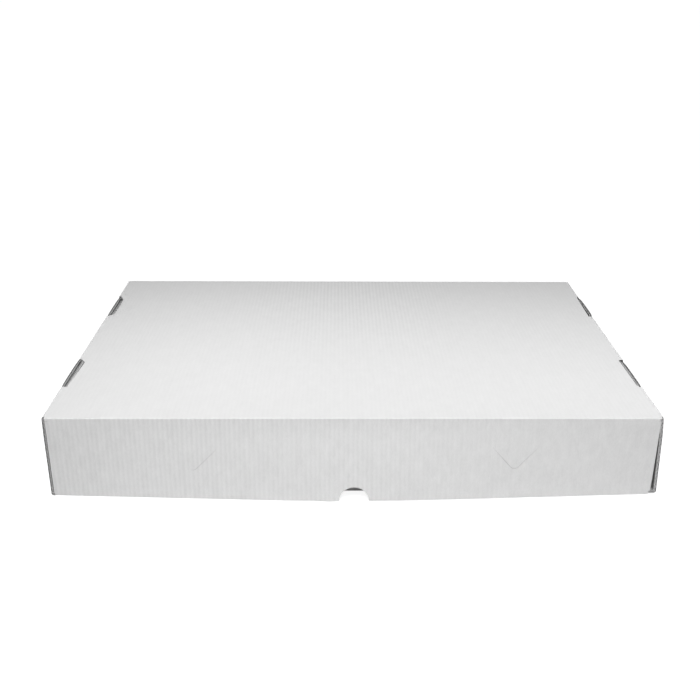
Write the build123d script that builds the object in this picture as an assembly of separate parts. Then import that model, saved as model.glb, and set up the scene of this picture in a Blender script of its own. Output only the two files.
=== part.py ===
from build123d import *
import os

# Driving dimensions, in millimetres
box_width = 557.0  # lid, outside, left to right
box_depth = 376.0  # lid, outside, front to back
box_height = 80.0  # closed box, table to top panel
board = 2.2  # thickness of the corrugated board
crease_radius = 0.6  # inside of every fold
ply_gap = 0.3  # air between plies that lie against each other
table_gap = 1.0  # lower edge of the lid above the table
seat_gap = 0.3  # top panel of the lid above the rim of the tray
side_play = 1.5  # lid to tray at each side wall
end_play = 4.0  # lid to tray at the front and at the back

tab_length = 64.0  # locking tab, along the fold
tab_spacing = 188.0  # between the middles of the tabs of one wall
tab_offset = 3.7  # middle between the tabs, back from the middle of the wall
tab_play = 0.6  # air round a tab in its slot
tab_recess = 0.5  # end of a tab below the outside of the panel
tab_bend_height = 16.0  # where a tab starts to lean towards its slot
left_slot_reach = 8.2  # lid's slots, inward from the outside of the wall
right_slot_reach = 5.5
lip_recess = 0.9  # raw edge of the outer leaf at a slot, below the panel's outside
flap_taper = 12.0  # corner flap, narrowing of its free end at each side
flap_play = 4.5  # free end of a corner flap to the next tab

thumb_radius = 13.5  # half-round thumb notch
vee_width = 41.0  # V-shaped slit, between its open ends
vee_height = 25.4
vee_round = 4.0
vee_kerf = 0.5
vee_drop = 26.6  # open ends below the top panel's outside
vee_offset = 145.0  # from the middle of the wall

front_bow = 11.0  # free edge of the front wall, outward at the middle
bow_round = 90.0  # half of the rounded middle of the bow
left_spread = 0.5  # lower edge of the lid's side walls, outward
right_spread = 2.6

# Derived dimensions
fold = crease_radius + board  # outside radius of a fold
fold_middle = crease_radius + board / 2  # radius at the middle of the board
rolled = 3 * board + 2 * ply_gap  # double side wall with a corner flap in it
corner_start = board + ply_gap + fold  # where the front and back walls begin to turn
tab_places = (tab_offset - tab_spacing / 2, tab_offset + tab_spacing / 2)
slot_half = tab_length / 2 + tab_play
straight_reach = rolled + tab_play  # slot under a tab that stands straight

lid_height = box_height - table_gap
tray_width = box_width - 2 * rolled - 2 * side_play
tray_depth = box_depth - 2 * board - 2 * end_play
tray_height = box_height - board - seat_gap


def bent_board(*points):
    return trace(FilletPolyline(*points, radius=fold_middle), board)


def along_depth(section, length, middle=0.0):
    return Pos(0, middle, 0) * extrude(Plane.XZ * section, amount=length / 2, both=True)


def along_width(section, length):
    return extrude(Plane.YZ * section, amount=length / 2, both=True)


def block(x, y, z):
    size = [high - low for low, high in (x, y, z)]
    centre = [(high + low) / 2 for low, high in (x, y, z)]
    return Pos(*centre) * Box(*size)


def side_wall(width, depth, height, spread, reach):
    """Double wall on the +X side: outer leaf, roll, inner leaf and locking tabs."""
    outer = width / 2 - board / 2
    inner = width / 2 - rolled + board / 2
    rim = height - board / 2
    hinge = (outer, board / 2)
    shoulder = (outer + spread, rim)
    inner_foot = board + ply_gap

    def on_leaf(z):
        return (outer + spread * (z - board / 2) / (rim - board / 2), z)

    rolled_section = bent_board(
        (width / 2 - fold - board, board / 2), hinge, shoulder, (inner, rim), (inner, inner_foot)
    )
    leaf_section = bent_board(on_leaf(fold), shoulder, (inner + fold_middle, rim))
    lip_section = trace(Line(on_leaf(lip_recess), on_leaf(fold + board)), board)

    fold_length = depth - 2 * fold - 2 * ply_gap
    wall = along_depth(rolled_section, fold_length)
    wall += along_depth(leaf_section, depth)

    tab_tip = width / 2 - reach + tab_play + board / 2
    tab_outline = Polyline(
        (inner - board / 2, tab_bend_height),
        (inner + board / 2, tab_bend_height),
        (tab_tip + board / 2, tab_recess),
        (tab_tip - board / 2, tab_recess),
        close=True,
    )
    tab_section = make_face(tab_outline)
    for y in tab_places:
        room = (y - slot_half, y + slot_half)
        wall -= block((inner - board, inner + board), room, (0, tab_bend_height))
        wall -= block((inner, width / 2 + board), room, (-board, fold))
        wall += along_depth(lip_section, 2 * slot_half, y)
        wall += along_depth(tab_section, tab_length, y)

    end_length = (depth - fold_length) / 2
    for y in (-1, 1):
        wall += along_depth(lip_section, end_length, y * (depth - end_length) / 2)
    return wall


def bowed_face(width, depth, z, bow):
    """Level cut through the front wall, whose free edge is pushed out at the middle."""
    reach = width / 2 - corner_start
    slope = bow / (reach - bow_round / 2)
    outside = -depth / 2
    bend = outside - slope * (reach - bow_round)
    edges = []
    for y in (0, board):
        left = Line((-reach, outside + y), (-bow_round, bend + y))
        right = Line((bow_round, bend + y), (reach, outside + y))
        if bow:
            middle = ThreePointArc(left @ 1, (0, outside - bow + y), right @ 0)
        else:
            middle = Line(left @ 1, right @ 0)
        edges += [left, middle, right]
    edges.append(Line((-reach, outside), (-reach, outside + board)))
    edges.append(Line((reach, outside), (reach, outside + board)))
    return Pos(0, 0, z) * make_face(edges)


def front_wall(width, depth, height, bow):
    """Single wall on the -Y side, with the fold that joins it to the floor."""
    outer = -depth / 2 + board / 2
    length = width - 2 * corner_start
    floor_end = (-depth / 2 + fold + board, board / 2)
    hinge = (outer, board / 2)
    if not bow:
        return along_width(bent_board(floor_end, hinge, (outer, height)), length)
    start = fold + ply_gap
    wall = along_width(bent_board(floor_end, hinge, (outer, start)), length)
    lower = bowed_face(width, depth, start, 0)
    upper = bowed_face(width, depth, height, bow)
    return wall + loft([lower, upper], ruled=True)


def corner_flap(width, depth, height):
    """Flap at the +X, +Y corner, turned in from the back wall between the leaves."""
    foot = fold + ply_gap
    head = height - board - ply_gap
    outer = depth / 2 - board / 2
    turn = JernArc((width / 2 - corner_start, outer), (1, 0), fold_middle, -90)
    flap = Pos(0, 0, foot) * extrude(trace(turn, board), amount=head - foot)

    start = depth / 2 - fold
    free_end = tab_places[1] + tab_length / 2 + flap_play
    outline = Polyline(
        (start, foot),
        (start, head),
        (free_end, head - flap_taper),
        (free_end, foot + flap_taper),
        close=True,
    )
    inside = width / 2 - 2 * board - ply_gap
    return flap + Pos(inside, 0, 0) * extrude(Plane.YZ * make_face(outline), amount=board)


def folded_tray(width, depth, height, left, right, bow):
    """One sheet folded into a tray; left and right give each wall's spread and slot reach."""
    floor_x = width / 2 - fold
    floor_y = depth / 2 - fold
    tray = block((-floor_x, floor_x), (-floor_y, floor_y), (0, board))
    for y in tab_places:
        room = (y - slot_half, y + slot_half)
        for side, (spread, reach) in ((-1, left), (1, right)):
            ends = sorted((side * (width / 2 - reach), side * width / 2))
            tray -= block(ends, room, (-board, 2 * board))

    tray += side_wall(width, depth, height, *right)
    tray += mirror(side_wall(width, depth, height, *left), about=Plane.YZ)
    tray += front_wall(width, depth, height, bow)
    tray += mirror(front_wall(width, depth, height, 0), about=Plane.XZ)

    flap = corner_flap(width, depth, height)
    flaps = [flap, mirror(flap, about=Plane.YZ)]
    for one in flaps:
        tray += one
        tray += mirror(one, about=Plane.XZ)
    return tray


def lid_cuts(depth, height):
    """Thumb notches and V-shaped slits, through the front and the back wall."""
    length = depth + 4 * front_bow + 4 * board
    cuts = along_depth(Pos(0, height) * Circle(thumb_radius), length)
    for side in (-1, 1):
        middle = side * vee_offset
        path = FilletPolyline(
            (middle - vee_width / 2, vee_drop),
            (middle, vee_drop + vee_height),
            (middle + vee_width / 2, vee_drop),
            radius=vee_round,
        )
        cuts += along_depth(trace(path, vee_kerf), length)
    return cuts


straight = (0, straight_reach)
base_tray = folded_tray(tray_width, tray_depth, tray_height, straight, straight, 0)

# The lid is folded as a tray and then turned over, which swaps its left and right
left_wall = (left_spread, left_slot_reach)
right_wall = (right_spread, right_slot_reach)
lid = folded_tray(box_width, box_depth, lid_height, right_wall, left_wall, front_bow)
lid -= lid_cuts(box_depth, lid_height)
lid = Pos(0, 0, box_height) * Rot(0, 180, 0) * lid

os.makedirs("parts", exist_ok=True)
export_step(lid, "parts/lid.step")
export_step(base_tray, "parts/base_tray.step")
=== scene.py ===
from collections import namedtuple
import math

import bmesh
import bpy
from mathutils import Matrix, Vector
from mathutils.geometry import delaunay_2d_cdt


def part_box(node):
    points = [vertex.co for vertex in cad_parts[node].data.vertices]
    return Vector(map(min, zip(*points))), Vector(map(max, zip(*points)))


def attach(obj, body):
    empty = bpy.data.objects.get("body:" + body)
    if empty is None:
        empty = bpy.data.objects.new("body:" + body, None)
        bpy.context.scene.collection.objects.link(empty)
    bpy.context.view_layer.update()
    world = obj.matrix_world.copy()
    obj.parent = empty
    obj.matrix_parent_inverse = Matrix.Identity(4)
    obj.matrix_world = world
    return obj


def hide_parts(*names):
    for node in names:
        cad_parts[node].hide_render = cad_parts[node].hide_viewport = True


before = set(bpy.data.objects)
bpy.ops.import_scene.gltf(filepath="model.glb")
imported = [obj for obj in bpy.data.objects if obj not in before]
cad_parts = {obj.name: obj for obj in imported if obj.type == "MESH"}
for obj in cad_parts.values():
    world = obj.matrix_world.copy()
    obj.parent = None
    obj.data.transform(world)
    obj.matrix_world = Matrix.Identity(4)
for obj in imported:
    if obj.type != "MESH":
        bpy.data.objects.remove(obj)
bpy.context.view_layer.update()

# Sizes of the folded sheets, in millimetres
MM = 0.001
board = 2.2  # thickness of the corrugated board
crease_radius = 0.6  # inside of every fold
lid_fold_skin = 0.8  # outside of the lid's folds, where the paper is drawn tight
tray_fold_skin = 2.4  # outside of the tray's folds
roll_skin = 2.4  # outside of the two folds of a rolled edge
ply_gap = 0.3  # air between plies that lie against each other
side_play = 1.5  # lid to tray at each side wall

tab_length = 64.0  # locking tab, along the fold
tab_spacing = 188.0  # between the middles of the tabs of one wall
tab_offset = 3.7  # middle between the tabs, back from the middle of the wall
tab_play = 0.6  # air round a tab in its slot
tab_recess = 0.5  # end of a straight tab below the outside of the panel
tab_bend_height = 16.0  # where a tab starts to lean towards its slot
left_slot_reach = 8.2  # lid's slots, inward from the outside of the wall
right_slot_reach = 5.5
lip_recess = 0.9  # raw edge of the outer leaf at a slot, below the panel's outside
lip_foot = 6.0  # where that lip goes on into the leaf
bulge_height = 22.0  # how far from the panel a tab pushes the leaf out
curl_width = 9.0  # edge of the panel that curls in at a slot
corner_recess = 0.25  # raw edge of the outer leaf beside a corner
lean_run = 26.0  # part of the leaf's front corner that leans in
flap_taper = 12.0  # corner flap, narrowing of its free end at each side
flap_play = 4.5  # free end of a corner flap to the next tab

thumb_radius = 13.5  # half-round thumb notch
vee_height = 25.4  # V-shaped slit, from its open ends to its point
vee_round = 5.0

front_bow = 11.0  # free edge of the front wall, outward at the middle
bow_round = 90.0  # half of the rounded middle of the bow
bow_belly = 0.5  # swell of the bowed wall between its fold and its free edge, as a share
lip_kick = 1.3  # small kick of the free edge beside the notch
kick_place = 23.0
kick_half = 14.0
kick_power = 12  # how near to the free edge the kick stays
left_spread = 0.1  # lower edge of the lid's side walls, outward
right_spread = 2.6

# Make-up of the board
liner = 0.3  # thickness of each liner
flute_pitch = 4.26
flute_paper = 0.22  # thickness of the fluted paper
flute_clear = 0.01  # air between the flutes and the liners
flute_inset = 0.25  # flutes behind a raw edge
flute_depth = 11.0  # how far in from a raw edge flutes are made, along them
flute_rows = 6.0  # and across them

# Fineness of the meshes
flute_steps = 10
fold_steps = 8
notch_steps = 28
vee_steps = 4
vee_leg_shares = (0.3, 0.55, 0.8, 1.0)
slot_steps = 8
bulge_levels = (10.0, 15.0)
curl_shares = (0.25, 0.375, 0.5, 1.0)
panel_step = 14.0
edge_clearance = 1.0  # between a notch or a kick and the next point of the free edge
weld_cells = 200  # corners in one cell of a grid of so many to a millimetre are one corner
weld_shift = 0.37  # keeps round sizes off the lines of that grid
same_point = 1e-5  # points of a cut panel nearer than this are one
hair = 1e-6  # slack in comparing places
sharp_edge = 35  # degrees

# Where the flutes show through the white liner
facing_limit = 0.7  # least part of a normal along an axis, for a face that looks that way
patch_narrowing = 59.0  # on the top, by the square of the metres to the left or right
patch_rise = 7.0  # on the top, for each metre to the back
front_fade = 5.0  # on the front, for each metre to the right

# Derived sizes
fold = crease_radius + board
fold_middle = crease_radius + board / 2
rolled = 3 * board + 2 * ply_gap
corner_start = board + ply_gap + fold
tab_places = (tab_offset - tab_spacing / 2, tab_offset + tab_spacing / 2)
slot_half = tab_length / 2 + tab_play
straight_reach = rolled + tab_play
liner_faces = (0.0, liner, board - liner, board)

# Finishes of the four liner faces and of raw edges, by their number in the list of finishes
face_finish = (0, 2, 2, 3)
rim_finish = 1

_, tray_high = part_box("base_tray")
lid_low, lid_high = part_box("lid")
tray_width = 2 * tray_high.x / MM
tray_depth = 2 * tray_high.y / MM
tray_height = tray_high.z / MM
lid_width = tray_width + 2 * (rolled + side_play)
lid_depth = 2 * lid_high.y / MM
lid_height = (lid_high.z - lid_low.z) / MM
lid_top = lid_high.z / MM


class Sheet:
    """One folded sheet: cells whose corners hold their points at the four liner faces."""

    def __init__(self, turn, fold_skin):
        self.turn = turn
        self.fold_skin = fold_skin
        self.numbers = {}
        self.stacks = []
        self.cells = []
        self.waves = []

    def corner(self, place, a, b):
        stack = [place(a, b, depth) for depth in liner_faces]
        ends = [value for point in stack[::3] for value in point]
        key = tuple(math.floor(value * weld_cells + weld_shift) for value in ends)
        if key not in self.numbers:
            self.numbers[key] = len(self.stacks)
            self.stacks.append(stack)
        return self.numbers[key]

    def cell(self, place, corners):
        numbers = list(dict.fromkeys(self.corner(place, a, b) for a, b in corners))
        if len(numbers) > 2:
            self.cells.append(numbers)

    def grid(self, place, a_lines, b_lines, keep=None):
        for a0, a1 in zip(a_lines, a_lines[1:]):
            for b0, b1 in zip(b_lines, b_lines[1:]):
                if keep is None or keep((a0 + a1) / 2, (b0 + b1) / 2):
                    self.cell(place, [(a0, b0), (a1, b0), (a1, b1), (a0, b1)])

    def flutes(self, place, start, end, ends, paper=flute_paper):
        """A wave of paper between the liners; ends are those of the flutes, or give them at a place."""
        count = max(3, round((end - start) / flute_pitch * flute_steps))
        swing = board / 2 - liner - paper / 2 - flute_clear
        rows = []
        for step in range(count + 1):
            a = start + (end - start) * step / count
            middle = board / 2 + swing * math.sin(2 * math.pi * a / flute_pitch)
            low, high = ends(a) if callable(ends) else ends
            inner = middle - paper / 2
            outer = middle + paper / 2
            ring = ((low, inner), (high, inner), (high, outer), (low, outer))
            rows.append([place(a, b, depth) for b, depth in ring])
        self.waves.append(rows)

    def board_mesh(self, name, finishes):
        """Two closed liners: every cell on both faces of each, and strips along the raw edges."""
        mesh = bmesh.new()
        uses = {}
        for cell in self.cells:
            for pair in zip(cell, cell[1:] + cell[:1]):
                uses.setdefault(tuple(sorted(pair)), []).append(pair)
        rims = [pairs[0] for pairs in uses.values() if len(pairs) == 1]
        for faces in ((0, 1), (2, 3)):
            levels = []
            for k in faces:
                levels.append([mesh.verts.new(self.turn(*stack[k])) for stack in self.stacks])
            for k, level in zip(faces, levels):
                for cell in self.cells:
                    face = mesh.faces.new([level[number] for number in cell])
                    face.material_index = face_finish[k]
            near, far = levels
            for one, two in rims:
                rim = mesh.faces.new([near[one], near[two], far[two], far[one]])
                rim.material_index = rim_finish
        return finish_mesh(mesh, name, finishes)

    def flute_mesh(self, name, finishes):
        mesh = bmesh.new()
        for wave in self.waves:
            rings = [[mesh.verts.new(self.turn(*point)) for point in row] for row in wave]
            for one, two in zip(rings, rings[1:]):
                for k in range(4):
                    mesh.faces.new([one[k], one[k - 1], two[k - 1], two[k]])
            mesh.faces.new(rings[0])
            mesh.faces.new(rings[-1][::-1])
        return finish_mesh(mesh, name, finishes)


def finish_mesh(mesh, name, finishes):
    bmesh.ops.recalc_face_normals(mesh, faces=mesh.faces)
    for face in mesh.faces:
        face.smooth = True
    data = bpy.data.meshes.new(name)
    mesh.to_mesh(data)
    mesh.free()
    data.set_sharp_from_angle(angle=math.radians(sharp_edge))
    for finish in finishes:
        data.materials.append(finish)
    piece = bpy.data.objects.new(name, data)
    bpy.context.scene.collection.objects.link(piece)
    return piece


def spread_lines(marks, step):
    """The marks in order, with even lines between those that stand further apart than a step."""
    marks = sorted(marks)
    lines = [marks[0]]
    for low, high in zip(marks, marks[1:]):
        if high - low < hair:
            continue
        parts = max(1, round((high - low) / step))
        lines += [low + (high - low) * k / parts for k in range(1, parts + 1)]
    return lines


def left_of(direction):
    return Vector((-direction.y, direction.x))


def flat_station(point, direction):
    """A point of the board's middle as its two faces: outside, and inside to the left of the run."""
    half = left_of(direction) * board / 2
    return Vector(point) - half, Vector(point) + half


def through(station, depth):
    outside, inside = station
    return outside.lerp(inside, depth / board)


def bent_path(fold_skins, *points):
    """Stations along a strip that turns left at each inner point, with both faces round at a fold.

    Fold skins are the radii of the outside face, which is drawn tighter than the board is thick.
    """
    points = [Vector(point) for point in points]
    stations = []
    for fold_skin, before, corner, after in zip(fold_skins, points, points[1:], points[2:]):
        ahead = (corner - before).normalized()
        leaving = (after - corner).normalized()
        turn = math.acos(ahead.dot(leaving))
        slack = math.tan(turn / 2)
        begin = flat_station(corner - ahead * fold_middle * slack, ahead)
        end = flat_station(corner + leaving * fold_middle * slack, leaving)
        inner_centre = begin[1] + left_of(ahead) * crease_radius
        outer_centre = begin[0] + ahead * (fold - fold_skin) * slack + left_of(ahead) * fold_skin

        def on_arc(centre, radius, share):
            angle = turn * share
            return centre + (ahead * math.sin(angle) - left_of(ahead) * math.cos(angle)) * radius

        stations.append(begin)
        for step in range(1, fold_steps):
            outside = on_arc(outer_centre, fold_skin, (step - 1) / (fold_steps - 2))
            stations.append((outside, on_arc(inner_centre, crease_radius, step / fold_steps)))
        stations.append(end)
    stations.append(flat_station(points[-1], leaving))
    return stations


# A slot as it was pushed open: reach and length of the slant at its front and back end, how far
# the lip is cut back, is crushed at its inside, lacks its flutes and stands out, how deep the tab's
# end lies, its share of the way from the lip to the panel at the front and at the back, and how far
# the panel curls in
Slot = namedtuple(
    "Slot",
    "front_reach back_reach front_slant back_slant lip_recess crush torn bulge "
    "tab_recess front_share back_share curl",
)

# A side wall: how far its free edge stands out, where its slots end, how far its front corner leans
# in at the panel, how far the end walls draw back from its free edge and hang lower there, how much
# shorter the wall itself is, how thick the crushed flutes look at its raw ends, how far the inside
# liner splays there, and its two slots
Side = namedtuple("Side", "spread reach lean draw drop lift crushed splay front_slot back_slot")


def in_slot(q):
    return min(abs(q - y) for y in tab_places) < slot_half


def slot_at(wall, q):
    """The slot nearest to q, and how far along it q lies, from -1 at its front end to 1."""
    front, back = tab_places
    if q < tab_offset:
        return wall.front_slot, (q - front) / slot_half
    return wall.back_slot, (q - back) / slot_half


def between(front, back, along):
    return front + (back - front) * (along + 1) / 2


def slot_reach(slot, along):
    return between(slot.front_reach, slot.back_reach, along)


def middle_share(along):
    """1 over most of a slot's length, easing to 0 at its ends."""
    return 1 - along**4


def side_wall(sheet, side, width, depth, height, wall):
    """Double wall: fold, outer leaf, roll, inner leaf, with slots, lips and locking tabs."""
    outer = width / 2 - board / 2
    inner = width / 2 - rolled + board / 2
    rim = height - wall.lift - board / 2
    spread = wall.spread
    fold_half = depth / 2 - fold - ply_gap

    hinge = Vector((outer, board / 2))
    leaf = Vector((spread, rim - board / 2))

    def on_leaf(z):
        return flat_station(hinge + leaf * (z - board / 2) / leaf.y, leaf.normalized())

    stations = bent_path(
        (sheet.fold_skin, roll_skin, roll_skin),
        (width / 2 - fold - board, board / 2),
        hinge,
        (outer + spread, rim),
        (inner, rim),
        (inner, board + ply_gap),
    )
    roll = fold_steps + 1
    leaf_start = through(stations[fold_steps], board / 2).y
    leaf_end = through(stations[roll], board / 2).y
    leaf_levels = [lip_foot, *bulge_levels, bulge_height, leaf_end]
    roll_stations = stations[roll : 2 * roll + 1]
    tab_root = flat_station((inner, tab_bend_height), Vector((0, -1)))
    inner_stations = stations[2 * roll : 3 * roll] + [tab_root]
    foot_stations = [tab_root, stations[-1]]

    def pushed(q, z):
        """How far the leaf is pushed out by a tab, or leans in at its front corner."""
        slot, along = slot_at(wall, q)
        if abs(along) < 1 and z < bulge_height:
            return slot.bulge * middle_share(along) * (1 - z / bulge_height) ** 2
        from_corner = q + depth / 2
        if max(from_corner, z) < lean_run:
            return -wall.lean * (1 - from_corner / lean_run) ** 2 * (1 - z / lean_run) ** 2
        return 0.0

    def on_path(path):
        """Place by the number of a station, with a share of the way to the next one."""
        def place(k, q, w):
            low = min(int(k), len(path) - 2)
            x, z = through(path[low], w).lerp(through(path[low + 1], w), k - low)
            return side * x, q, z

        return place

    def on_outer(z, q, w):
        x, level = through(on_leaf(z), w)
        raw = max(0.0, 1 - (depth / 2 - abs(q)) / fold)
        return side * (x + pushed(q, level) - wall.splay * raw * w / board), q, level

    def lip_cut(q, w):
        slot, along = slot_at(wall, q)
        if abs(q) > fold_half - hair:
            return corner_recess
        if abs(along) > 1 - hair:
            return lip_recess
        return slot.lip_recess + slot.crush * w / board

    def on_lip(down, q, w):
        cut = lip_cut(q, w)
        return on_outer(cut + (lip_foot - cut) * down, q, w)

    def on_lip_flute(down, q, w):
        return on_outer(lip_cut(q, w) + down, q, w)

    def on_tab(z, q, w):
        slot, along = slot_at(wall, q)
        room = slot_reach(slot, along) - 2 * board
        share = between(slot.front_share, slot.back_share, along)
        tip = width / 2 - 1.5 * board - share * room
        x = inner + (tip - inner) * (1 - z / tab_bend_height)
        return side * (x + w - board / 2), q, z

    marks = [-depth / 2, depth / 2, -fold_half, fold_half, -depth / 2 + fold, depth / 2 - fold]
    for y in tab_places:
        marks += [y - slot_half, y + slot_half, y - tab_length / 2, y + tab_length / 2]
    lines = spread_lines(marks, 2 * slot_half / slot_steps)

    def between_ends(_, q):
        return abs(q) < fold_half

    def is_joined(_, q):
        """True where the leaves are joined to the panel or stand on it."""
        return abs(q) < fold_half and not in_slot(q)

    def has_lip(_, q):
        return not is_joined(_, q)

    def strip(path, keep=None):
        sheet.grid(on_path(path), range(len(path)), lines, keep)

    strip(stations[:roll], is_joined)
    sheet.grid(on_lip, (0, 1), lines, has_lip)
    sheet.grid(on_outer, (leaf_start, lip_foot), lines, is_joined)
    sheet.grid(on_outer, leaf_levels, lines)
    strip(roll_stations)
    strip(inner_stations, between_ends)
    strip(foot_stations, is_joined)
    for y in tab_places:
        slot, _ = slot_at(wall, y)
        tip = slot.tab_recess
        sides = [q for q in lines if abs(q - y) < tab_length / 2 + hair]
        sheet.grid(on_tab, (tip, tab_bend_height), sides)
        ends = (sides[0] + flute_inset, sides[-1] - flute_inset)
        sheet.flutes(on_tab, tip + flute_inset, tip + flute_rows, ends)
        ends = (y - slot_half + flute_inset, y + slot_half - flute_inset)
        sheet.flutes(on_lip_flute, slot.torn + flute_inset, flute_rows, ends)

    for end in (-1, 1):
        ends = sorted((end * (depth / 2 - flute_inset), end * (depth / 2 - flute_depth)))
        first = corner_recess + flute_inset
        sheet.flutes(on_outer, first, leaf_end - flute_inset, ends, wall.crushed)
        sheet.flutes(on_path(roll_stations), 0, len(roll_stations) - 1, ends)
    return through(stations[0], board / 2).x


def bow_at(p, reach, bow):
    """How far the free edge of a bowed wall stands out at p."""
    slope = bow / (reach - bow_round / 2)
    if abs(p) >= bow_round or not bow:
        return slope * (reach - abs(p))
    sag = bow - slope * (reach - bow_round)
    radius = (bow_round**2 + sag**2) / (2 * sag)
    return bow - radius + math.sqrt(radius**2 - p**2)


def inside(point, loop):
    """True where a point lies in a closed loop of points."""
    x, y = point
    odd = False
    for (x0, y0), (x1, y1) in zip(loop, loop[1:] + loop[:1]):
        if (y0 > y) != (y1 > y) and x < x0 + (x1 - x0) * (y - y0) / (y1 - y0):
            odd = not odd
    return odd


def distance(point, loop):
    """How far a point is from the nearest stretch of a closed loop."""
    here = Vector(point)
    found = math.inf
    for one, two in zip(loop, loop[1:] + loop[:1]):
        start = Vector(one)
        run = Vector(two) - start
        share = min(1.0, max(0.0, (here - start).dot(run) / run.length_squared))
        found = min(found, (here - start - run * share).length)
    return found


def cut_panel(sheet, place, outline, holes):
    """A panel with cut-outs: triangles between its outline, its holes and an even field of points."""
    loops = [outline, *holes]
    points = []
    edges = []
    for loop in loops:
        first = len(points)
        points += loop
        edges += [(first + k, first + (k + 1) % len(loop)) for k in range(len(loop))]

    def is_board(point):
        return inside(point, outline) and not any(inside(point, hole) for hole in holes)

    low = [min(point[k] for point in outline) for k in (0, 1)]
    high = [max(point[k] for point in outline) for k in (0, 1)]
    columns = round((high[0] - low[0]) / panel_step)
    rows = round((high[1] - low[1]) / panel_step)
    for i in range(1, columns):
        for j in range(1, rows):
            x = low[0] + (high[0] - low[0]) * i / columns
            y = low[1] + (high[1] - low[1]) * j / rows
            if not is_board((x, y)):
                continue
            if min(distance((x, y), loop) for loop in loops) > panel_step / 4:
                points.append((x, y))
    corners = [Vector(point) for point in points]
    flat, _, faces, *_ = delaunay_2d_cdt(corners, edges, [], 0, same_point)
    for face in faces:
        corners = [tuple(flat[k]) for k in face]
        middle = tuple(sum(corner[k] for corner in corners) / 3 for k in (0, 1))
        if is_board(middle):
            sheet.cell(place, corners)


# A V-shaped slit: middle, distance between its open ends, their drop below the top panel, and how
# far it gapes along its two legs
Vee = namedtuple("Vee", "middle width drop gapes")


def gape_at(gapes, share):
    """Gape of a slit at a share of its length."""
    place = share * (len(gapes) - 1)
    low = min(int(place), len(gapes) - 2)
    return gapes[low] + (gapes[low + 1] - gapes[low]) * (place - low)


def vee_slit(vee):
    """Outline of a V-shaped slit with a rounded point."""
    lean = math.atan2(vee_height, vee.width / 2)
    length = math.hypot(vee.width / 2, vee_height)
    tip = Vector((vee.middle, vee.drop + vee_height))
    back = vee_round * math.tan(lean)
    centre = tip - Vector((0, vee_round / math.cos(lean)))

    def half_line(side):
        """From the rounded point up one leg."""
        points = []
        for step in range(vee_steps + 1):
            angle = lean * step / vee_steps
            points.append(centre + vee_round * Vector((side * math.sin(angle), math.cos(angle))))
        leg = Vector((side * math.cos(lean), -math.sin(lean)))
        for share in vee_leg_shares:
            points.append(tip + leg * (back + (length - back) * share))
        return points

    line = half_line(-1)[::-1] + half_line(1)[1:]
    last = len(line) - 1
    above = []
    below = []
    for k in range(1, last):
        run = (line[k + 1] - line[k - 1]).normalized()
        across = left_of(run) * gape_at(vee.gapes, k / last) / 2
        above.append(tuple(line[k] + across))
        below.append(tuple(line[k] - across))
    return [tuple(line[0]), *below, tuple(line[-1]), *above[::-1]]


def end_wall(sheet, end, width, depth, height, floor_lines, bow, slits, sides):
    """Single wall at the front or the back, with its fold and, at its ends, the corner flaps."""
    reach = width / 2 - corner_start
    foot = fold + ply_gap
    head = height - board - ply_gap
    outer = depth / 2 - board / 2
    floor_end = (outer - fold_middle - board, board / 2)
    bend = bent_path([sheet.fold_skin], floor_end, (outer, board / 2), (outer, fold))[:-1]
    lines = [p for p in floor_lines if abs(p) < reach + hair]

    def on_fold(p, k, w):
        y, z = through(bend[k], w)
        return p, end * y, z

    def on_wall(p, z, w):
        rise = max(0.0, z - foot) / (height - foot)
        out = bow_at(p, reach, bow) * rise * (1 + bow_belly * (1 - rise))
        if bow:
            out += lip_kick * max(0.0, 1 - abs(p - kick_place) / kick_half) * rise**kick_power
        near = sides[0] if p < 0 else sides[1]
        share = rise / reach
        drawn = p * (1 - near.draw * share)
        return drawn, end * (depth / 2 - w + out), z + near.drop * abs(p) * share

    sheet.grid(on_fold, floor_lines, range(len(bend)))
    levels = [[fold, foot, head - wall.lift, height] for wall in sides]
    if slits:
        turns = [math.pi * k / notch_steps for k in range(notch_steps + 1)]
        notch = [(thumb_radius * math.cos(t), height - thumb_radius * math.sin(t)) for t in turns]
        kicked = [kick_place + kick_half * share for share in (1, 0.5, 0, -0.5)]
        beside_notch = thumb_radius + edge_clearance
        beyond_kick = kicked[0] + edge_clearance
        edge = lines[-2:0:-1]
        outline = [(p, fold) for p in lines]
        outline += [(reach, z) for z in levels[1][1:]]
        outline += [(p, height) for p in edge if p > beyond_kick]
        outline += [(p, height) for p in kicked if p > beside_notch]
        outline += notch
        outline += [(p, height) for p in edge if p < -beside_notch]
        outline += [(-reach, z) for z in levels[0][:0:-1]]
        cut_panel(sheet, on_wall, outline, [vee_slit(slit) for slit in slits])
    else:
        sheet.grid(on_wall, lines, levels[0])

    def raw_edge(p):
        """Ends of a flute that starts at the free edge or at the notch."""
        edge = height
        if slits and abs(p) < thumb_radius:
            edge -= math.sqrt(thumb_radius**2 - p**2)
        return edge - flute_depth, edge - flute_inset

    sheet.flutes(on_wall, -reach + flute_inset, reach - flute_inset, raw_edge)
    for side, wall, turn_levels in zip((-1, 1), sides, levels):
        corner_flap(sheet, side, end, reach, depth, height, turn_levels[1:], wall)


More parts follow.
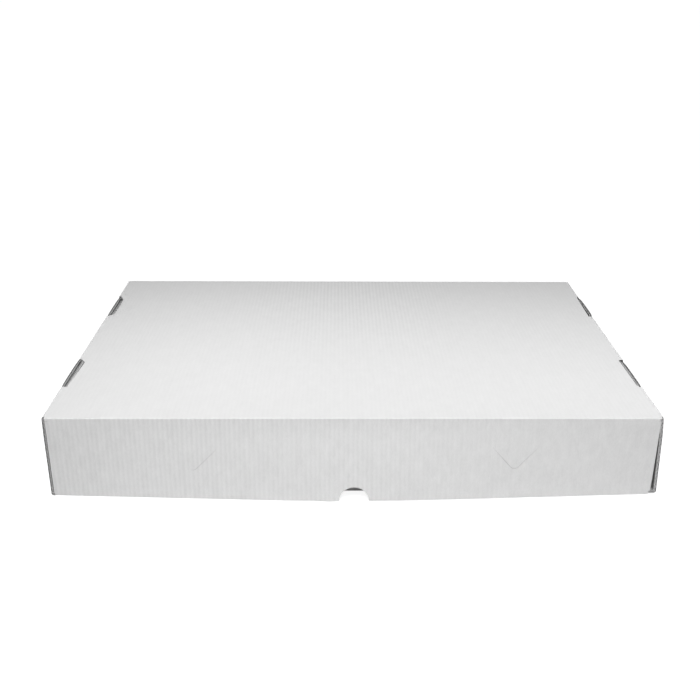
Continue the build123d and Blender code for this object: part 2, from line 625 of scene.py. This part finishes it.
def corner_flap(sheet, side, end, reach, depth, height, turn_levels, wall):
    """Flap at the end of a front or back wall, turned in between the leaves of the side wall."""
    foot = fold + ply_gap
    head = height - wall.lift - board - ply_gap
    begin = depth / 2 - fold
    free_end = tab_places[1] + tab_length / 2 + flap_play
    outside = reach + fold
    corner = (reach + fold_middle, board / 2)
    bend = bent_path([sheet.fold_skin], (reach - board, board / 2), corner, (corner[0], fold))[:-1]

    def on_turn(k, z, w):
        x, inward = through(bend[k], w)
        share = (z - foot) / (height - foot) * (1 - k / fold_steps)
        return side * (x - wall.draw * share), end * (depth / 2 - inward), z + wall.drop * share

    def on_flap(a, b, w):
        y = begin + (free_end - begin) * a
        low = foot + flap_taper * a
        high = head - flap_taper * a
        return side * (outside - w), end * y, low + (high - low) * b

    sheet.grid(on_turn, (0, 1), turn_levels)
    sheet.grid(on_turn, range(1, fold_steps + 1), turn_levels[:2])
    sheet.grid(on_flap, (0, 1), (0, 1))


def fill_slant(sheet, on_floor, columns, rows, edge, q, slant):
    """The corner of the panel that stays where a slot ends at q in a slant."""
    border = sorted((p for p in columns if p * edge > 0 and abs(p) > abs(edge) - hair), key=abs)
    outermost = border[-1]
    steps = [row for row in rows if -hair < (row - q) / slant < 1 + hair]
    steps.sort(key=lambda row: abs(row - q))
    for near, far in zip(steps, steps[1:]):
        ring = [(p, near) for p in border]
        border = [edge, edge + (outermost - edge) * (1 - (far - q) / slant)]
        ring.append((border[1], far))
        for one, two in zip(ring, ring[1:]):
            sheet.cell(on_floor, [one, two, (edge, far)])


def folded_tray(turn, fold_skin, width, depth, height, left, right, bow, slits):
    """One sheet folded into a tray, with the side walls that left and right describe."""
    sheet = Sheet(turn, fold_skin)
    left_edge = -side_wall(sheet, -1, width, depth, height, left)
    right_edge = side_wall(sheet, 1, width, depth, height, right)
    reach = width / 2 - corner_start
    left_slot = -(width / 2 - left.reach)
    right_slot = width / 2 - right.reach
    marks = [left_edge, left_slot, -reach, reach, right_slot, right_edge]
    for share in curl_shares:
        marks += [left_slot + curl_width * share, right_slot - curl_width * share]
    columns = spread_lines(marks, panel_step)
    fold_half = depth / 2 - fold - ply_gap
    marks = [-depth / 2 + fold, -fold_half, fold_half, depth / 2 - fold]
    slants = []
    for y in tab_places:
        front, back = y - slot_half, y + slot_half
        marks += [front, back, y - tab_length / 2, y + tab_length / 2]
        for edge, wall in ((left_slot, left), (right_slot, right)):
            slot, _ = slot_at(wall, y)
            slants += [(edge, front, slot.front_slant), (edge, back, -slot.back_slant)]
    marks += [q + slant for _, q, slant in slants]
    rows = spread_lines(marks, 2 * slot_half / slot_steps)

    def on_floor(p, q, w):
        side, wall = (-1, left) if p < 0 else (1, right)
        slot, along = slot_at(wall, q)
        inward = width / 2 - wall.reach - abs(p)
        near = 1 - inward / curl_width if inward > 0 else 1 + inward / (wall.reach - fold)
        if abs(along) > 1 - hair or near <= 0:
            return p, q, w
        shift = side * (wall.reach - slot_reach(slot, along)) * near
        return p + shift, q, w + slot.curl * middle_share(along) * near**4

    def floor_keeps(p, q):
        return not in_slot(q) or left_slot < p < right_slot

    sheet.grid(on_floor, columns, rows, floor_keeps)
    for edge, q, slant in slants:
        if slant:
            fill_slant(sheet, on_floor, columns, rows, edge, q, slant)
    for end, out in ((-1, bow), (1, 0)):
        end_wall(sheet, end, width, depth, height, columns, out, slits, (left, right))
    return sheet


def as_tray(x, y, z):
    return x * MM, y * MM, z * MM


def as_lid(x, y, z):
    return -x * MM, y * MM, (lid_top - z) * MM


class Value:
    """A socket of a shader, with which maths is written as expressions."""

    def __init__(self, nodes, socket):
        self.nodes = nodes
        self.socket = socket

    def math(self, operation, *values):
        return self.nodes.math(operation, self, *values)

    def clamp(self, low, high):
        return self.math("MAXIMUM", low).math("MINIMUM", high)

    def __add__(self, other):
        return self.math("ADD", other)

    def __sub__(self, other):
        return self.math("SUBTRACT", other)

    def __rsub__(self, other):
        return self.nodes.math("SUBTRACT", other, self)

    def __mul__(self, other):
        return self.math("MULTIPLY", other)

    __radd__ = __add__
    __rmul__ = __mul__


class Nodes:
    """A node tree; one method adds any node, with its settings first and then its inputs."""

    def __init__(self, tree):
        self.tree = tree
        tree.nodes.clear()

    def add(self, kind, settings=None, inputs=None, outputs=(0,)):
        node = self.tree.nodes.new(kind)
        for name, value in (settings or {}).items():
            setattr(node, name, value)
        for name, value in (inputs or {}).items():
            if isinstance(value, Value):
                self.tree.links.new(value.socket, node.inputs[name])
            else:
                node.inputs[name].default_value = value
        found = [Value(self, node.outputs[name]) for name in outputs if node.outputs]
        return found[0] if len(found) == 1 else found

    def math(self, operation, *values):
        return self.add("ShaderNodeMath", {"operation": operation}, dict(enumerate(values)))

    def split(self, vector):
        return self.add("ShaderNodeSeparateXYZ", None, {0: vector}, [0, 1, 2])

    def mix(self, share, low, high):
        settings = {"data_type": "RGBA"}
        return self.add("ShaderNodeMix", settings, {0: share, 6: low, 7: high}, [2])

    def noise(self, where, scale, detail, stretch=(1, 1, 1)):
        """Noise from -1 to 1, with so many grains in a metre."""
        settings = {"operation": "MULTIPLY"}
        place = self.add("ShaderNodeVectorMath", settings, {0: where, 1: stretch})
        inputs = {"Vector": place, "Scale": scale, "Detail": detail, "Roughness": 0.6}
        return self.add("ShaderNodeTexNoise", None, inputs) * 2 - 1

    def bump(self, height):
        """Normal of a surface whose height is given in millimetres."""
        return self.add("ShaderNodeBump", None, {"Strength": 1.0, "Distance": MM, "Height": height})


def grey(level):
    return (level, level, level, 1)


def new_finish(name):
    material = bpy.data.materials.new(name)
    material.use_nodes = True
    return material, Nodes(material.node_tree)


def where_masked(mask, share):
    """A factor that is the share where the mask is 1, and 1 where it is 0."""
    return 1 + mask * (share - 1)


def flute_lines(nodes, where, facing, waver):
    """Rise and fall of a liner over the flutes, which run along the side walls and the panel."""
    x, _, z = nodes.split(where)
    side, _, _ = nodes.split(facing)
    on_side = side.math("ABSOLUTE").math("GREATER_THAN", facing_limit)
    across = x + on_side * (z - x)
    return (across * (2 * math.pi / (flute_pitch * MM)) + waver * 0.6).math("SINE")


def white_liner():
    """Matt white paper over flutes, which show as faint stripes along them."""
    material, nodes = new_finish("white_liner")
    where, facing = nodes.add("ShaderNodeTexCoord", outputs=["Object", "Normal"])
    x, y, _ = nodes.split(where)
    _, back, up = nodes.split(facing)
    on_top = up.math("ABSOLUTE").math("GREATER_THAN", facing_limit)
    on_front = back.math("LESS_THAN", -facing_limit)

    # Strongest in a patch behind the middle of the top, and at the left of the front
    patch = (1 - x * x * patch_narrowing).clamp(0, 1) * (y * patch_rise + 0.5).clamp(0, 1)
    front_shows = (1.1 - x * front_fade).clamp(0.15, 1.3)

    clouds = nodes.noise(where, scale=14, detail=3)
    patches = nodes.noise(where, scale=9, detail=1)
    streaks = nodes.noise(where, scale=170, detail=3, stretch=(1, 0.4, 0.4))
    fibres = nodes.noise(where, scale=900, detail=3, stretch=(1, 0.45, 0.45))
    specks = nodes.noise(where, scale=2600, detail=2)
    wave = flute_lines(nodes, where, facing, clouds)
    stripe = wave * (1 + patches * 0.4) * where_masked(on_front, front_shows)

    seen_stripe = stripe * where_masked(on_top, patch * 1.05 + 0.38)
    seen_streaks = streaks * where_masked(on_top, patch * 0.2 + 0.45)
    seen_flutes = seen_stripe * 0.12 + seen_streaks * 0.55
    tone = 0.5 + seen_flutes + clouds * 0.08 + fibres * (0.45 - on_top * 0.35) + specks * 0.1
    inputs = {
        "Base Color": nodes.mix(tone, grey(0.73), grey(0.85)),
        "Roughness": 0.72 + fibres * 0.06 + clouds * 0.04,
        "Normal": nodes.bump(stripe * 0.016 + fibres * 0.012 + specks * 0.006 + clouds * 0.12),
        "Specular IOR Level": 0.3,
    }
    shader = nodes.add("ShaderNodeBsdfPrincipled", None, inputs)
    nodes.add("ShaderNodeOutputMaterial", None, {"Surface": shader})
    return material


def paper_core(name, low, high, lines=0.0):
    """Unbleached grey paper of a cut edge, of the flutes or of the inside liner, whose darkness also
    paints the shade of the corner gaps and slots.
    """
    material, nodes = new_finish(name)
    where, facing = nodes.add("ShaderNodeTexCoord", outputs=["Object", "Normal"])
    fibres = nodes.noise(where, scale=1500, detail=3)
    blots = nodes.noise(where, scale=160, detail=2)
    tone = 0.5 + fibres * 0.3 + blots * 0.3
    height = fibres * 0.03
    if lines:
        wave = flute_lines(nodes, where, facing, blots)
        tone = tone + wave * lines
        height = height + wave * 0.02
    inputs = {
        "Base Color": nodes.mix(tone, grey(low), grey(high)),
        "Roughness": 0.9 + fibres * 0.05,
        "Normal": nodes.bump(height),
    }
    shader = nodes.add("ShaderNodeBsdfPrincipled", None, inputs)
    nodes.add("ShaderNodeOutputMaterial", None, {"Surface": shader})
    return material


def seen_directly(nodes):
    """1 for what the camera sees straight, in gloss or through glass, and 0 for light on the object."""
    rays = ["Is Camera Ray", "Is Glossy Ray", "Is Transmission Ray"]
    camera, glossy, transmitted = nodes.add("ShaderNodeLightPath", outputs=rays)
    return camera.math("MAXIMUM", glossy).math("MAXIMUM", transmitted)


def studio_floor(half, level, glow):
    """Pale floor that looks white where no shadow falls on it."""
    material, nodes = new_finish("studio_floor")
    paint = nodes.add("ShaderNodeBsdfDiffuse", None, {"Color": grey(level)})
    shine = nodes.add("ShaderNodeEmission", None, {"Color": grey(1), "Strength": glow})
    white = nodes.add("ShaderNodeAddShader", None, {0: paint, 1: shine})
    mixed = nodes.add("ShaderNodeMixShader", None, {0: seen_directly(nodes), 1: paint, 2: white})
    nodes.add("ShaderNodeOutputMaterial", None, {"Surface": mixed})

    data = bpy.data.meshes.new("studio_floor")
    corners = [(-half, -half, 0), (half, -half, 0), (half, half, 0), (-half, half, 0)]
    data.from_pydata(corners, [], [(0, 1, 2, 3)])
    data.materials.append(material)
    floor = bpy.data.objects.new("studio_floor", data)
    bpy.context.scene.collection.objects.link(floor)


def studio_world(ambient):
    """Even light all round, which looks white itself."""
    world = bpy.data.worlds.new("studio_world")
    world.use_nodes = True
    nodes = Nodes(world.node_tree)
    dim = nodes.add("ShaderNodeBackground", None, {"Color": grey(1), "Strength": ambient})
    white = nodes.add("ShaderNodeBackground", None, {"Color": grey(1), "Strength": 1.0})
    mixed = nodes.add("ShaderNodeMixShader", None, {0: seen_directly(nodes), 1: dim, 2: white})
    nodes.add("ShaderNodeOutputWorld", None, {"Surface": mixed})
    bpy.context.scene.world = world


def soft_box(name, place, target, size, watts, spread):
    lamp = bpy.data.lights.new(name, "AREA")
    lamp.spread = math.radians(spread)
    lamp.shape = "RECTANGLE"
    lamp.size, lamp.size_y = size
    lamp.energy = watts
    light = bpy.data.objects.new(name, lamp)
    light.location = place
    light.rotation_euler = (Vector(target) - Vector(place)).to_track_quat("-Z", "Y").to_euler()
    light.visible_camera = False
    bpy.context.scene.collection.objects.link(light)


def photo_camera(place, turns, lens):
    """Camera at a place, turned to the right, down and over by so many degrees."""
    yaw, pitch, roll = (math.radians(angle) for angle in turns)
    level_ahead = Vector((math.sin(yaw), math.cos(yaw), 0))
    ahead = level_ahead * math.cos(pitch) - Vector((0, 0, math.sin(pitch)))
    right = Vector((math.cos(yaw), -math.sin(yaw), 0))
    up = right.cross(ahead)
    rolled_right = right * math.cos(roll) + up * math.sin(roll)
    rolled_up = up * math.cos(roll) - right * math.sin(roll)
    data = bpy.data.cameras.new("camera")
    data.sensor_width = 36.0
    data.lens = lens
    camera = bpy.data.objects.new("camera", data)
    turn = Matrix((rolled_right, rolled_up, -ahead)).transposed()
    camera.matrix_world = Matrix.Translation(place) @ turn.to_4x4()
    bpy.context.scene.collection.objects.link(camera)
    bpy.context.scene.camera = camera


# Slots and walls: the tray's are plain, and each of the lid's has its own shape
straight_share = (rolled - 2 * board) / (straight_reach - 2 * board)
plain_slot = Slot(
    front_reach=straight_reach,
    back_reach=straight_reach,
    front_slant=0.0,
    back_slant=0.0,
    lip_recess=lip_recess,
    crush=0.0,
    torn=0.0,
    bulge=0.0,
    tab_recess=tab_recess,
    front_share=straight_share,
    back_share=straight_share,
    curl=0.0,
)
plain_side = Side(
    spread=0.0,
    reach=straight_reach,
    lean=0.0,
    draw=0.0,
    drop=0.0,
    lift=0.0,
    crushed=flute_paper,
    splay=0.0,
    front_slot=plain_slot,
    back_slot=plain_slot,
)
left_front_slot = plain_slot._replace(
    front_reach=5.8,
    back_reach=8.4,
    back_slant=7.5,
    lip_recess=0.7,
    bulge=0.7,
    tab_recess=1.75,
    front_share=0.1,
    back_share=0.3,
)
left_back_slot = plain_slot._replace(
    front_reach=6.4,
    back_reach=6.6,
    front_slant=9.0,
    back_slant=7.0,
    lip_recess=2.0,
    bulge=1.0,
    tab_recess=2.9,
    front_share=0.1,
    back_share=0.6,
    curl=2.2,
)
right_front_slot = plain_slot._replace(
    front_reach=4.9,
    back_reach=5.3,
    front_slant=4.0,
    back_slant=2.0,
    lip_recess=2.0,
    crush=1.0,
    bulge=1.1,
    tab_recess=2.4,
    front_share=0.5,
    back_share=0.5,
)
right_back_slot = plain_slot._replace(
    front_reach=4.4,
    back_reach=2.6,
    crush=1.0,
    torn=3.0,
    bulge=1.8,
    tab_recess=5.0,
    front_share=0.5,
    back_share=0.5,
)
left_side = plain_side._replace(
    spread=left_spread,
    reach=left_slot_reach,
    lean=0.35,
    drop=0.6,
    lift=-0.9,
    crushed=0.24,
    front_slot=left_front_slot,
    back_slot=left_back_slot,
)
right_side = plain_side._replace(
    spread=right_spread,
    reach=right_slot_reach,
    lean=0.9,
    draw=1.5,
    lift=1.0,
    crushed=0.6,
    splay=0.5,
    front_slot=right_front_slot,
    back_slot=right_back_slot,
)
finishes = [
    white_liner(),
    paper_core("cut_liner", 0.68, 0.8),
    paper_core("liner_back", 0.5, 0.62),
    # inside liner: grey of unbleached paper, kept this dark also as painted shade in the narrow corner
    # gaps and the slots
    paper_core("inside_liner_kraft_and_shade", 0.28, 0.36, lines=0.2),
]
flute_finish = [paper_core("flute_paper", 0.6, 0.72)]

# The lid is folded as a tray and then turned over, which swaps its left and right
slits = [
    Vee(-146.4, 45.0, 26.1, (0.08, 0.3, 0.38, 0.36, 0.42, 0.3, 0.1)),
    Vee(146.5, 50.0, 26.8, (0.1, 0.38, 0.42, 0.32, 0.14, 0.06, 0.03)),
]
tray = folded_tray(
    as_tray, tray_fold_skin, tray_width, tray_depth, tray_height, plain_side, plain_side, 0, []
)
lid = folded_tray(
    as_lid, lid_fold_skin, lid_width, lid_depth, lid_height, right_side, left_side, front_bow, slits
)
for sheet, body, node in ((tray, "base", "base_tray"), (lid, "lid", "lid")):
    panel = sheet.board_mesh(node + "_board", finishes)
    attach(panel, body)
    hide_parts(node)
    core = sheet.flute_mesh(node + "_flutes", flute_finish)
    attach(core, body)

# The studio, in metres
studio_floor(half=12.0, level=0.45, glow=0.88)
studio_world(ambient=0.3)
soft_box(
    "key_light",
    place=(-0.004, -0.747, 0.664),
    target=(0.026, -0.419, 0.04),
    size=(0.981, 1.166),
    watts=3.046,
    spread=47.5,
)
photo_camera(place=(-0.01661, -0.91373, 0.45788), turns=(0.9541, 23.2244, 0.4343), lens=47.049)
bpy.context.scene.view_settings.view_transform = "Standard"
